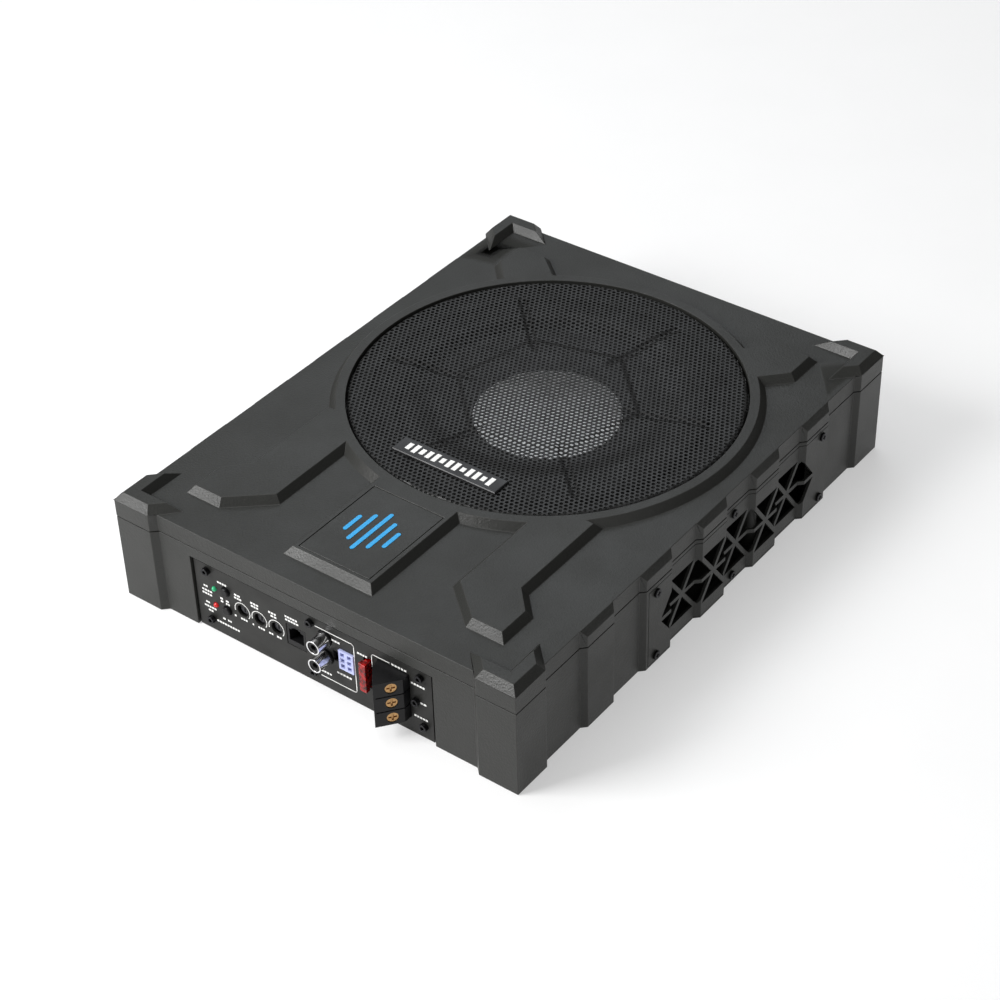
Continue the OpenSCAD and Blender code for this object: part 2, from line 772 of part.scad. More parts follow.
module pot_bodies() {
    color(black) for (x = pot_x) difference() {
        union() {
            translate([x - 4.8, pot_body_y, pot_z - 5]) cube([9.6, 9, 10]);
            translate([x - 4, pot_body_y + 3, board_top])
                cube([8, 5, pot_z - 5 - board_top + 0.1]);
        }
        along_front(x, pot_body_y + 6, pot_z) cylinder(r = knob_r + 0.05, h = 20, $fn = 48);
    }
}
module knob(x) {
    len_k = 6.4;
    along_front(x, pot_body_y + 5.9, pot_z) difference() {
        union() {
            cylinder(r = knob_r, h = len_k, $fn = 48);
            translate([0, 0, len_k - 0.02]) cylinder(r1 = knob_r, r2 = knob_r - 0.4, h = 0.4, $fn = 48);
        }
        translate([-0.45, -knob_r + 0.9, len_k - 1]) cube([0.9, 2 * knob_r - 1.8, 3]);
    }
}
module lowpass_knob() {
    color([0.16, 0.16, 0.17]) knob(pot_x[0]);
}
module bass_knob() {
    color([0.16, 0.16, 0.17]) knob(pot_x[1]);
}
module gain_knob() {
    color([0.16, 0.16, 0.17]) knob(pot_x[2]);
}
// Modular jack for a wired remote control
module remote_socket() {
    body = [13.2, 15, 14.2];
    front = panel_back + 0.2;
    color(shell_grey) difference() {
        union() {
            translate([remote_x - body[0] / 2, front, remote_z - body[2] / 2]) cube(body);
            translate([remote_x - remote_face[0] / 2, front - 1.5, remote_z - remote_face[1] / 2])
                cube([remote_face[0], 2, remote_face[1]]);
            translate([remote_x - 4, front + 6, board_top])
                cube([8, 6, remote_z - body[2] / 2 - board_top + 0.1]);
        }
        translate([remote_x - 4.8, front - 3, remote_z - 3.4]) cube([9.6, 13, 7.4]);
        translate([remote_x - 3, front - 3, remote_z + 3.9]) cube([6, 13, 1.2]);
        translate([remote_x - 1.6, front - 3, remote_z + 5]) cube([3.2, 13, 0.8]);
    }
}
module rca_block() {
    depth = 11;
    color(black) difference() {
        union() {
            translate([rca_x - 5, panel_back + 0.2, rca_z[1] - 5.5]) cube([10, depth, rca_pitch + 11]);
            translate([rca_x - 4, panel_back + 4, board_top])
                cube([8, 6, rca_z[1] - 5.5 - board_top + 0.1]);
            for (z = rca_z) along_front(rca_x, panel_back + 1, z)
                cylinder(r = 4.6, h = panel_t + 2.4, $fn = 48);
        }
        for (z = rca_z) along_front(rca_x, panel_back + 5, z) cylinder(r = 3.4, h = 30, $fn = 48);
    }
}
module rca_shells() {
    color(steel) for (z = rca_z)
        along_front(rca_x, panel_y - 1.4, z) tube(rca_r, 3.4, rca_reach - 1.4, $fn = 64);
}
module rca_contacts() {
    color(black) for (z = rca_z) along_front(rca_x, panel_back + 5, z) difference() {
        cylinder(r = 3.35, h = panel_t + 5 + rca_reach - 0.6, $fn = 48);
        translate([0, 0, 3]) cylinder(r = 1.65, h = 30, $fn = 48);
    }
}
// Multi-pin receptacle for the high-level input, open towards the front
module high_level_socket() {
    shell_w = 9.7;
    shell_h = 12.4;
    hole = 2.5;
    front = panel_y - 1;
    color([0.82, 0.82, 0.93]) difference() {
        union() {
            translate([high_x - shell_w / 2, front, high_z - shell_h / 2]) cube([shell_w, 14, shell_h]);
            translate([high_x - 4, panel_back + 4, board_top])
                cube([8, 7, high_z - shell_h / 2 - board_top + 0.1]);
        }
        for (x = high_pin_x, z = high_pin_z)
            translate([high_x + x - hole / 2, front - 1, high_z + z - hole / 2])
                cube([hole, high_depth + panel_y - front + 1, hole]);
    }
}
module high_level_contacts() {
    pin = 0.9;
    pin_l = 3;
    color(brass) for (x = high_pin_x, z = high_pin_z)
        translate([high_x + x - pin / 2, panel_y + high_depth - pin_l, high_z + z - pin / 2])
            cube([pin, pin_l, pin]);
}
module fuse_holder() {
    color(black) difference() {
        union() {
            translate([fuse_x - 2.8, panel_back + 0.2, fuse_z - 10]) cube([5.6, 15, 20]);
            translate([fuse_x - 2.5, panel_back + 4, board_top])
                cube([5, 8, fuse_z - 10 - board_top + 0.1]);
        }
        for (s = [-1, 1])
            translate([fuse_x - 0.9, panel_back - 1, fuse_z + s * 7 - 2.8]) cube([1.8, 13, 5.6]);
    }
}
module fuse_body() {
    h = 18.4;
    color([0.85, 0.08, 0.06]) {
        translate([fuse_x - 2.2, fuse_face, fuse_z - h / 2]) cube([4.4, 3, h]);
        translate([fuse_x - 1.6, fuse_face + 2.9, fuse_z - h / 2 + 0.6])
            cube([3.2, fuse_body_l - 2.9, h - 1.2]);
    }
}
module fuse_blades() {
    color(steel) for (s = [-1, 1])
        translate([fuse_x - 0.35, fuse_face + fuse_body_l, fuse_z + s * 7 - 2.5])
            cube([0.7, 9.4, 5]);
}
// Power terminal block: two slanted faces that meet at a vertical edge
module toward(dir, at, z) {
    translate([at[0], panel_y + at[1], z])
        rotate([0, 0, atan2(dir[1], dir[0])]) rotate([0, 90, 0]) children();
}
module terminal_block() {
    color(black) difference() {
        translate([0, panel_y, block_z]) linear_extrude(height = block_h) polygon(block_plan);
        for (z = terminal_z) {
            toward(screw_dir, face_mid - screw_dir * 5, z)
                cylinder(r = terminal_head_r + 0.05, h = 20, $fn = 48);
            toward(screw_dir, face_mid - screw_dir * 10, z) cylinder(r = 1.6, h = 12, $fn = 32);
            toward(wire_dir, wire_mid - wire_dir * (wire_l + 0.1), z)
                cylinder(r = 3.2, h = 20, $fn = 48);
        }
        // Grooves between the three poles
        for (z = [terminal_z[0], terminal_z[1]])
            translate([0, panel_y, z - terminal_pitch / 2 - 0.3]) linear_extrude(height = 0.6)
                difference() {
                    translate(screw_dir * 5) polygon(block_plan);
                    translate(-screw_dir * 0.7) polygon(block_plan);
                }
    }
}
module terminal_cages() {
    color(brass) for (z = terminal_z)
        toward(wire_dir, wire_mid - wire_dir * wire_l, z) tube(3.15, 2.5, wire_l, $fn = 48);
}
module terminal_screw(z) {
    color(brass) toward(screw_dir, face_mid - screw_dir * terminal_head_depth, z) difference() {
        union() {
            cylinder(r = terminal_head_r, h = 2, $fn = 48);
            translate([0, 0, -5]) cylinder(r = 1.5, h = 5.1, $fn = 32);
        }
        for (a = [0, 90]) rotate([0, 0, a]) translate([-2.2, -0.45, 1]) cube([4.4, 0.9, 3]);
    }
}
module terminal_screw_top() {
    terminal_screw(terminal_z[0]);
}
module terminal_screw_middle() {
    terminal_screw(terminal_z[1]);
}
module terminal_screw_bottom() {
    terminal_screw(terminal_z[2]);
}

// --- Electronics ----------------------------------------------------------------------

module circuit_board() {
    color(board_green) difference() {
        translate([-80, inner_y0 + 2, board_z]) cube([158, 60, board_t]);
        for (x = board_post_x, y = board_post_y)
            translate([x, y, board_z - 1]) cylinder(r = 1.6, h = 4, $fn = 32);
    }
}
module capacitors() {
    color([0.08, 0.09, 0.16]) for (i = [0:3]) translate([-66 + 15.5 * i, -134, board_top]) {
        cylinder(r = 6.3, h = 24, $fn = 48);
        translate([0, 0, 23.9]) cylinder(r = 5.6, h = 0.5, $fn = 48);
    }
}
module inductors() {
    color([0.72, 0.36, 0.16]) for (x = [18, 44]) translate([x, -130, board_top + 11])
        rotate([90, 0, 0]) rotate_extrude($fn = 72) translate([7.2, 0]) circle(r = 3.6, $fn = 32);
}
module heat_sink() {
    color(steel) {
        translate([-64, sink_y, board_top]) cube([116, 4, 30]);
        for (i = [0:14]) translate([-64 + 8.14 * i, sink_y + 3.9, board_top]) cube([2, 5, 30]);
    }
}
module transistors() {
    color(black) for (i = [0:5]) translate([-58 + 18.5 * i, sink_y - 4.4, board_top + 4]) {
        cube([10, 4.4, 14]);
        for (k = [0:2]) translate([2 + 2.5 * k, 1.6, -4]) cube([1, 0.8, 4.1]);
    }
}

lower_shell();
lid();
lid_gasket();
emblem_plate();
emblem_mark();
vent_grille_right();
vent_grille_left();
vent_screws();
housing_screws();
bracket_inserts();
grille();
grille_badge();
partition();
driver_basket();
basket_gasket();
surround();
damper();
top_plate();
magnet();
yoke();
driver_screws();
driver_terminals();
speaker_leads();
cone();
dust_cap();
coil_former();
voice_coil();
control_panel();
panel_screws();
led_green();
led_red();
switch_bodies();
phase_button();
turn_on_button();
pot_bodies();
lowpass_knob();
bass_knob();
gain_knob();
remote_socket();
rca_block();
rca_shells();
rca_contacts();
high_level_socket();
high_level_contacts();
fuse_holder();
fuse_body();
fuse_blades();
terminal_block();
terminal_cages();
terminal_screw_top();
terminal_screw_middle();
terminal_screw_bottom();
circuit_board();
capacitors();
inductors();
heat_sink();
transistors();
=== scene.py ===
"""Looks for the powered under-seat subwoofer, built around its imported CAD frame."""
import math

import bmesh
import bpy
import numpy as np
from mathutils import Matrix, Vector
from mathutils.geometry import delaunay_2d_cdt


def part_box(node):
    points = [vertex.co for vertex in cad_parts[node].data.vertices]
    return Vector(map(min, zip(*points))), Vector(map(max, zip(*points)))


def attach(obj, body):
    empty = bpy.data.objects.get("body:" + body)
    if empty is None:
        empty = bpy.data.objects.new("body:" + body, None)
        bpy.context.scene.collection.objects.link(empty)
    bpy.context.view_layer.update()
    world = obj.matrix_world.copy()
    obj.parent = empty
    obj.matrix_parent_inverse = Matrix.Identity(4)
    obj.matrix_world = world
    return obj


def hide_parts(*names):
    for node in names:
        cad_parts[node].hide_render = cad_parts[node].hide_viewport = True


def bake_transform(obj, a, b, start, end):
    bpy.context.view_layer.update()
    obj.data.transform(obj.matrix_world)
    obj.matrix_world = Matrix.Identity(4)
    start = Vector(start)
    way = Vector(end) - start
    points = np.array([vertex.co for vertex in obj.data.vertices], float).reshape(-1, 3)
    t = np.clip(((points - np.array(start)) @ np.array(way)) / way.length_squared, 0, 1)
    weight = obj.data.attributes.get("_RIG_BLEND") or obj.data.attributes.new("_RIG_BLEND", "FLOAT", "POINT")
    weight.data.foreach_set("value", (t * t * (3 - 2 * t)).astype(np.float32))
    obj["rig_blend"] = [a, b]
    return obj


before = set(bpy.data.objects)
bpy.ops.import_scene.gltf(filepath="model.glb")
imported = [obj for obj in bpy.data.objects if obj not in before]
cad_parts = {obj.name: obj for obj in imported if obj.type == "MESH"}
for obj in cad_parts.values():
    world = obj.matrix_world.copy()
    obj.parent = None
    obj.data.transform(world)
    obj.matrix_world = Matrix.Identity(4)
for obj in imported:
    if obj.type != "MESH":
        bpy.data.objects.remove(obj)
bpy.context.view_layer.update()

MM = 0.001
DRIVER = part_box("cone")
DRIVER_X = (DRIVER[0].x + DRIVER[1].x) / 2 / MM
DRIVER_Y = (DRIVER[0].y + DRIVER[1].y) / 2 / MM
PANEL_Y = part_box("control_panel")[0].y / MM


# --- Camera, floor and lights -------------------------------------------------------------

def camera_axes(azimuth, elevation, roll):
    """Right, up and back directions of a camera that looks at the model."""
    az, el, turn = (math.radians(a) for a in (azimuth, elevation, roll))
    back = Vector((math.sin(az) * math.cos(el), -math.cos(az) * math.cos(el), math.sin(el)))
    level = Vector((math.cos(az), math.sin(az), 0))
    upright = back.cross(level)
    right = level * math.cos(turn) + upright * math.sin(turn)
    up = upright * math.cos(turn) - level * math.sin(turn)
    return right, up, back


def add_camera():
    """The camera, with its distance and the point it looks at in millimetres."""
    distance, focal_length = 1268.2, 84.07
    target = Vector((7.47, -22.04, 30.0)) * MM
    right, up, back = camera_axes(azimuth=38.1, elevation=38.06, roll=-1.78)
    data = bpy.data.cameras.new("camera")
    data.sensor_width = 36
    data.lens = focal_length
    camera = bpy.data.objects.new("camera", data)
    bpy.context.scene.collection.objects.link(camera)
    turn = Matrix((right, up, back)).transposed().to_4x4()
    camera.matrix_world = Matrix.Translation(target + back * distance * MM) @ turn
    bpy.context.scene.camera = camera


def add_softbox(name, azimuth, elevation, distance, size, power, colour=(1, 1, 1)):
    """A square area light that faces the middle of the model."""
    _, _, back = camera_axes(azimuth, elevation, 0)
    data = bpy.data.lights.new(name, "AREA")
    data.shape = "SQUARE"
    data.size = size
    data.energy = power
    data.color = colour
    light = bpy.data.objects.new(name, data)
    light.location = back * distance
    light.rotation_euler = back.to_track_quat("Z", "Y").to_euler()
    bpy.context.scene.collection.objects.link(light)


def add_world(brightness):
    """A plain studio: pale all round, dimmer to the back right."""
    bright_side = (-0.55, -0.6, 0.58)
    dim, bright = 0.12, 0.44
    world = bpy.data.worlds.new("studio")
    bpy.context.scene.world = world
    world.use_nodes = True
    tree = world.node_tree
    background = tree.nodes["Background"]
    direction = tree.nodes.new("ShaderNodeTexCoord").outputs["Generated"]
    toward = tree.nodes.new("ShaderNodeVectorMath")
    toward.operation = "DOT_PRODUCT"
    toward.inputs[1].default_value = bright_side
    tree.links.new(direction, toward.inputs[0])
    level = tree.nodes.new("ShaderNodeMapRange")
    tree.links.new(toward.outputs["Value"], level.inputs["Value"])
    for name, value in (("From Min", -0.6), ("From Max", 1.0), ("To Min", dim), ("To Max", bright)):
        level.inputs[name].default_value = value
    soft = tree.nodes.new("ShaderNodeBackground")
    tree.links.new(level.outputs["Result"], soft.inputs["Strength"])
    background.inputs["Color"].default_value = (brightness, brightness, brightness, 1)
    background.inputs["Strength"].default_value = 1.0
    path = tree.nodes.new("ShaderNodeLightPath")
    mix = tree.nodes.new("ShaderNodeMixShader")
    tree.links.new(path.outputs["Is Camera Ray"], mix.inputs["Fac"])
    tree.links.new(soft.outputs["Background"], mix.inputs[1])
    tree.links.new(background.outputs["Background"], mix.inputs[2])
    tree.links.new(mix.outputs["Shader"], tree.nodes["World Output"].inputs["Surface"])


def add_floor():
    """A pale floor just under the model, with a little light of its own, in metres."""
    half, gap, paper, glow = 6.0, 0.2 * MM, 0.56, 0.42
    mesh = bpy.data.meshes.new("floor")
    corners = [(-half, -half, 0), (half, -half, 0), (half, half, 0), (-half, half, 0)]
    mesh.from_pydata(corners, [], [(0, 1, 2, 3)])
    floor = bpy.data.objects.new("floor", mesh)
    bpy.context.scene.collection.objects.link(floor)
    floor.location.z = -gap
    look = Look("floor_paper", (paper, paper, paper), 0.75)
    look.set("Emission Color", (1, 1, 1, 1))
    look.set("Emission Strength", glow)
    look.vary_colour(60, 0.01)
    mesh.materials.append(look.material)


# --- Materials ----------------------------------------------------------------------------

class Look:
    """A procedural material. Sizes are in millimetres on the object."""

    def __init__(self, name, colour, roughness, metallic=0.0):
        self.material = bpy.data.materials.new(name)
        self.material.use_nodes = True
        self.tree = self.material.node_tree
        self.shader = self.tree.nodes["Principled BSDF"]
        self.position = self.tree.nodes.new("ShaderNodeTexCoord").outputs["Object"]
        self.colour = colour
        self.set("Base Color", (*colour, 1))
        self.set("Roughness", roughness)
        self.set("Metallic", metallic)
        self.normal = None

    def set(self, name, value):
        self.shader.inputs[name].default_value = value

    def node(self, kind, links=(), **values):
        made = self.tree.nodes.new(kind)
        for name, value in values.items():
            made.inputs[name].default_value = value
        for name, socket in links:
            self.tree.links.new(socket, made.inputs[name])
        return made

    def noise(self, size, detail=2.0, stretch=(1, 1, 1), seed=0.0):
        """Noise from 0 to 1, with features of that size."""
        place = self.node("ShaderNodeMapping", [("Vector", self.position)],
                          Location=(seed, seed, seed), Scale=stretch)
        made = self.node("ShaderNodeTexNoise", [("Vector", place.outputs[0])],
                         Scale=1 / (size * MM), Detail=detail, Roughness=0.5)
        return made.outputs["Fac"]

    def cells(self, size):
        """Distance to the middle of the nearest cell of that size, from 0 to 1."""
        made = self.node("ShaderNodeTexVoronoi", [("Vector", self.position)],
                         Scale=1 / (size * MM))
        return made.outputs["Distance"]

    def remap(self, value, low, high, to_low, to_high):
        made = self.node("ShaderNodeMapRange", [("Value", value)])
        for name, number in (("From Min", low), ("From Max", high),
                             ("To Min", to_low), ("To Max", to_high)):
            made.inputs[name].default_value = number
        return made.outputs["Result"]

    def vary_colour(self, size, amount, detail=3.0, seed=0.0, other=None):
        """Lets the colour drift by that share, or towards another colour."""
        current = self.shader.inputs["Base Color"]
        low = [c * (1 - amount) for c in self.colour] if other is None else self.colour
        high = [c * (1 + amount) for c in self.colour] if other is None else other
        mix = self.tree.nodes.new("ShaderNodeMix")
        mix.data_type = "RGBA"
        mix.blend_type = "MIX" if not current.is_linked else "MULTIPLY"
        factor = self.remap(self.noise(size, detail, seed=seed), 0.3, 0.7, 0, 1)
        self.tree.links.new(factor, mix.inputs[0])
        if current.is_linked:
            shade = 1 - amount
            self.tree.links.new(current.links[0].from_socket, mix.inputs[6])
            mix.inputs[7].default_value = (shade, shade, shade, 1)
        else:
            mix.inputs[6].default_value = (*low, 1)
            mix.inputs[7].default_value = (*high, 1)
        self.tree.links.new(mix.outputs[2], current)
        return self

    def vary_gloss(self, size, low, high, detail=3.0, stretch=(1, 1, 1)):
        value = self.remap(self.noise(size, detail, stretch, seed=3.1), 0.3, 0.7, low, high)
        self.tree.links.new(value, self.shader.inputs["Roughness"])
        return self

    def bump(self, height, depth):
        """Raises the surface by up to depth, in millimetres."""
        links = [("Height", height)]
        if self.normal is not None:
            links.append(("Normal", self.normal))
        made = self.node("ShaderNodeBump", links, Strength=1.0, Distance=depth * MM)
        self.normal = made.outputs["Normal"]
        self.tree.links.new(self.normal, self.shader.inputs["Normal"])
        return self


def moulded_plastic(name, colour, roughness=0.5, grain=0.55, depth=0.05, shine=0.35):
    """Spark-eroded plastic: fine grain, slow drift of colour, patchy gloss."""
    look = Look(name, colour, roughness)
    look.set("Specular IOR Level", shine)
    look.vary_colour(45, 0.05)
    look.vary_colour(grain * 1.3, 0.14, seed=7.0)
    look.vary_gloss(30, roughness - 0.05, roughness + 0.05)
    look.bump(look.noise(grain, detail=3.0), depth)
    look.bump(look.cells(grain * 1.6), depth * 0.6)
    return look


def worn_edge(name, colour, roughness=0.42):
    """The same plastic along an edge, where handling has polished it lighter."""
    look = Look(name, colour, roughness)
    look.set("Specular IOR Level", 0.35)
    look.vary_colour(9, 0.12)
    look.vary_gloss(6, roughness - 0.06, roughness + 0.08)
    look.bump(look.noise(0.5), 0.02)
    return look


def powder_coat(name, colour, roughness=0.38, shine=0.4):
    """Paint baked on steel: a faint orange peel and a satin shine."""
    look = Look(name, colour, roughness)
    look.set("Specular IOR Level", shine)
    look.vary_colour(25, 0.06)
    look.vary_gloss(12, roughness - 0.05, roughness + 0.07)
    look.bump(look.noise(0.9), 0.02)
    look.bump(look.noise(0.25, seed=4.0), 0.008)
    return look


def plated(name, colour, roughness, stretch=(1, 1, 1)):
    """Plated or machined metal with faint tool marks and dulled patches."""
    look = Look(name, colour, roughness, metallic=1.0)
    look.vary_colour(3, 0.08)
    look.vary_gloss(1.2, roughness * 0.7, roughness * 1.5, stretch=stretch)
    look.bump(look.noise(0.25, stretch=stretch), 0.01)
    return look


def rubber(name, colour):
    look = Look(name, colour, 0.62)
    look.vary_colour(12, 0.15)
    look.vary_gloss(8, 0.55, 0.72)
    look.bump(look.noise(0.7), 0.03)
    return look


def lens(name, colour, glow):
    """Tinted clear plastic, lit from inside by a trace of its own colour."""
    look = Look(name, colour, 0.12)
    look.vary_colour(1.5, 0.25)
    look.vary_gloss(2, 0.08, 0.2)
    look.set("Transmission Weight", 0.35)
    look.set("IOR", 1.5)
    look.set("Emission Color", (*colour, 1))
    look.set("Emission Strength", glow)
    look.bump(look.noise(1.0), 0.02)
    return look


def tinted_red_painted_light():
    """Tinted clear plastic, with painted shade and painted highlights as dark and bright patches of colour.
    """
    look = Look("fuse_red", (0.04, 0.0005, 0.0005), 0.1)
    # painted shade and painted highlights: the colour swings between near black and bright red in patches
    # about 2.2 mm across
    look.vary_colour(2.2, 0, detail=1.0, other=(0.42, 0.004, 0.003))
    look.vary_gloss(2, 0.06, 0.16)
    look.set("Specular IOR Level", 0.4)
    look.bump(look.noise(2.0), 0.3)
    return look


def brushed_cap():
    """Circular-brushed aluminium: the shine fans out from the middle."""
    look = Look("brushed_aluminium", (0.98, 0.98, 0.99), 0.36, metallic=0.5)
    look.set("Anisotropic", 0.85)
    tangent = look.tree.nodes.new("ShaderNodeTangent")
    tangent.direction_type = "RADIAL"
    tangent.axis = "Z"
    look.tree.links.new(tangent.outputs[0], look.shader.inputs["Tangent"])
    flat = look.node("ShaderNodeVectorMath", [(0, look.position)])
    flat.operation = "SUBTRACT"
    flat.inputs[1].default_value = (DRIVER_X * MM, DRIVER_Y * MM, 0)
    split = look.node("ShaderNodeSeparateXYZ", [("Vector", flat.outputs[0])])
    join = look.node("ShaderNodeCombineXYZ",
                     [("X", split.outputs["X"]), ("Y", split.outputs["Y"])])
    length = look.node("ShaderNodeVectorMath", [(0, join.outputs[0])])
    length.operation = "LENGTH"
    ring = look.node("ShaderNodeCombineXYZ", [("X", length.outputs["Value"])])
    grooves = look.node("ShaderNodeTexNoise", [("Vector", ring.outputs[0])],
                        Scale=1 / (0.35 * MM), Detail=2.0)
    rough = look.remap(grooves.outputs["Fac"], 0.3, 0.7, 0.20, 0.34)
    look.tree.links.new(rough, look.shader.inputs["Roughness"])
    look.bump(grooves.outputs["Fac"], 0.01)
    return look


def pulp():
    """Pressed paper pulp, sealed black: felted fibres under a dull coat."""
    look = Look("coated_pulp", (0.02, 0.02, 0.021), 0.6)
    look.vary_colour(2.5, 0.35)
    look.vary_gloss(5, 0.5, 0.7)
    look.bump(look.noise(0.8, detail=4.0, stretch=(1, 1, 3)), 0.08)
    return look


def woven(name, colour):
    """Open cotton weave stiffened with resin."""
    look = Look(name, colour, 0.8)
    look.vary_colour(1.2, 0.25)
    look.vary_gloss(4, 0.7, 0.9)
    look.bump(look.noise(0.6, stretch=(1, 3, 1)), 0.12)
    look.bump(look.noise(0.6, stretch=(3, 1, 1), seed=5.0), 0.12)
    return look


def printed(name, colour):
    look = Look(name, colour, 0.45)
    look.vary_colour(0.8, 0.06)
    look.vary_gloss(2, 0.4, 0.5)
    look.bump(look.noise(0.4), 0.01)
    return look


def varnished_board():
    look = Look("solder_mask", (0.02, 0.13, 0.06), 0.3)
    look.vary_colour(4, 0.2)
    look.vary_gloss(3, 0.22, 0.4)
    look.bump(look.noise(1.5, stretch=(1, 4, 1)), 0.03)
    return look


def wound_wire():
    """Enamelled copper in close turns."""
    look = Look("enamelled_copper", (0.62, 0.27, 0.11), 0.28, metallic=1.0)
    look.vary_colour(0.8, 0.2)
    look.vary_gloss(1.5, 0.2, 0.4)
    look.bump(look.noise(0.5, stretch=(0.2, 0.2, 4)), 0.1)
    return look


def foam():
    look = Look("closed_cell_foam", (0.02, 0.02, 0.02), 0.85)
    look.vary_colour(1.0, 0.3)
    look.vary_gloss(3, 0.75, 0.95)
    look.bump(look.cells(0.5), 0.1)
    return look


def sintered():
    look = Look("ferrite", (0.08, 0.08, 0.085), 0.55)
    look.vary_colour(6, 0.12)
    look.vary_gloss(5, 0.45, 0.65)
    look.bump(look.noise(0.9, detail=4.0), 0.06)
    return look


# --- Mesh helpers -------------------------------------------------------------------------

def new_piece(name, points, faces, look, body, smooth=None):
    """A mesh piece from points in millimetres. smooth is the largest angle shaded smooth."""
    mesh = bpy.data.meshes.new(name)
    mesh.from_pydata([tuple(c * MM for c in p) for p in points], [], faces)
    mesh.validate()
    mesh.update()
    piece = bpy.data.objects.new(name, mesh)
    bpy.context.scene.collection.objects.link(piece)
    mesh.materials.append(look.material)
    if smooth is not None:
        mesh.polygons.foreach_set("use_smooth", [True] * len(mesh.polygons))
        mesh.set_sharp_from_angle(angle=math.radians(smooth))
    if body is not None:
        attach(piece, body)
    return piece


def revolve(profile, steps, centre):
    """Points and faces of a closed outline of (radius, z), turned about a vertical line."""
    count = len(profile)
    points = []
    for i in range(steps):
        angle = 2 * math.pi * i / steps
        for radius, z in profile:
            points.append((centre[0] + radius * math.cos(angle),
                           centre[1] + radius * math.sin(angle), z))
    faces = []
    for i in range(steps):
        for j in range(count):
            a, b = i * count + j, i * count + (j + 1) % count
            c, d = (b + count) % len(points), (a + count) % len(points)
            faces.append((a, d, c, b))
    return points, faces


def soften(node, width, look, edge=None, clamp=False):
    """Gives a CAD node its material, and rounds its edges by width millimetres."""
    segments, sharpest_smooth, flat_within = 2, 28, 0.6
    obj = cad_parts[node]
    mesh = obj.data
    mesh.materials.clear()
    mesh.materials.append(look.material)
    mesh.materials.append((edge or look).material)
    for polygon in mesh.polygons:
        polygon.material_index = 0
        polygon.use_smooth = True
    weld = obj.modifiers.new("weld", "WELD")
    weld.merge_threshold = 0.02 * MM
    planar = obj.modifiers.new("planar", "DECIMATE")
    planar.decimate_type = "DISSOLVE"
    planar.angle_limit = math.radians(flat_within)
    bevel = obj.modifiers.new("bevel", "BEVEL")
    bevel.width = width * MM
    bevel.segments = segments
    bevel.limit_method = "ANGLE"
    bevel.angle_limit = math.radians(sharpest_smooth)
    bevel.use_clamp_overlap = clamp
    bevel.material = 1
    weighted = obj.modifiers.new("normals", "WEIGHTED_NORMAL")
    weighted.keep_sharp = True


def paint(node, look):
    """Gives a CAD node its material and leaves its shape alone."""
    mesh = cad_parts[node].data
    mesh.materials.clear()
    mesh.materials.append(look.material)
    for polygon in mesh.polygons:
        polygon.material_index = 0


# --- Print --------------------------------------------------------------------------------

PRINT_T = 0.12


class Print:
    """Flat raised strokes on a plane, gathered into one mesh."""

    def __init__(self, place):
        self.place = place
        self.points = []
        self.faces = []

    def outline(self, corners):
        """A convex outline of (across, up) corners, counter-clockwise, given its thickness."""
        first, count = len(self.points), len(corners)
        for height in (0, PRINT_T):
            self.points += [self.place(a, u, height) for a, u in corners]
        low = list(range(first, first + count))
        high = [i + count for i in low]
        self.faces += [tuple(high), tuple(reversed(low))]
        for k in range(count):
            n = (k + 1) % count
            self.faces.append((low[k], low[n], high[n], high[k]))

    def bar(self, left, right, middle, height):
        low, high = middle - height / 2, middle + height / 2
        self.outline([(left, low), (right, low), (right, high), (left, high)])

    def words(self, left, right, middle, height=1.1):
        """A row of plain dashes where a label stands."""
        pitch, filled = 1.9, 0.74
        count = max(1, round((right - left) / pitch))
        step = (right - left) / count
        for k in range(count):
            self.bar(left + k * step, left + (k + filled) * step, middle, height)

    def stroke(self, path, width):
        """A line of that width along a path, as short outlines with square ends."""
        overlap = 0.4
        for (a0, u0), (a1, u1) in zip(path, path[1:]):
            length = math.hypot(a1 - a0, u1 - u0)
            da, du = (a1 - a0) / length * width / 2, (u1 - u0) / length * width / 2
            a0, u0 = a0 - da * overlap, u0 - du * overlap
            a1, u1 = a1 + da * overlap, u1 + du * overlap
            self.outline([(a0 + du, u0 - da), (a1 + du, u1 - da),
                          (a1 - du, u1 + da), (a0 - du, u0 + da)])

    def arc(self, centre, radius, start, end, width, steps=20):
        turns = [math.radians(start + (end - start) * k / steps) for k in range(steps + 1)]
        self.stroke([(centre[0] + radius * math.cos(t), centre[1] + radius * math.sin(t))
                     for t in turns], width)


def on_panel(across, up, height):
    return (across, PANEL_Y - height, up)


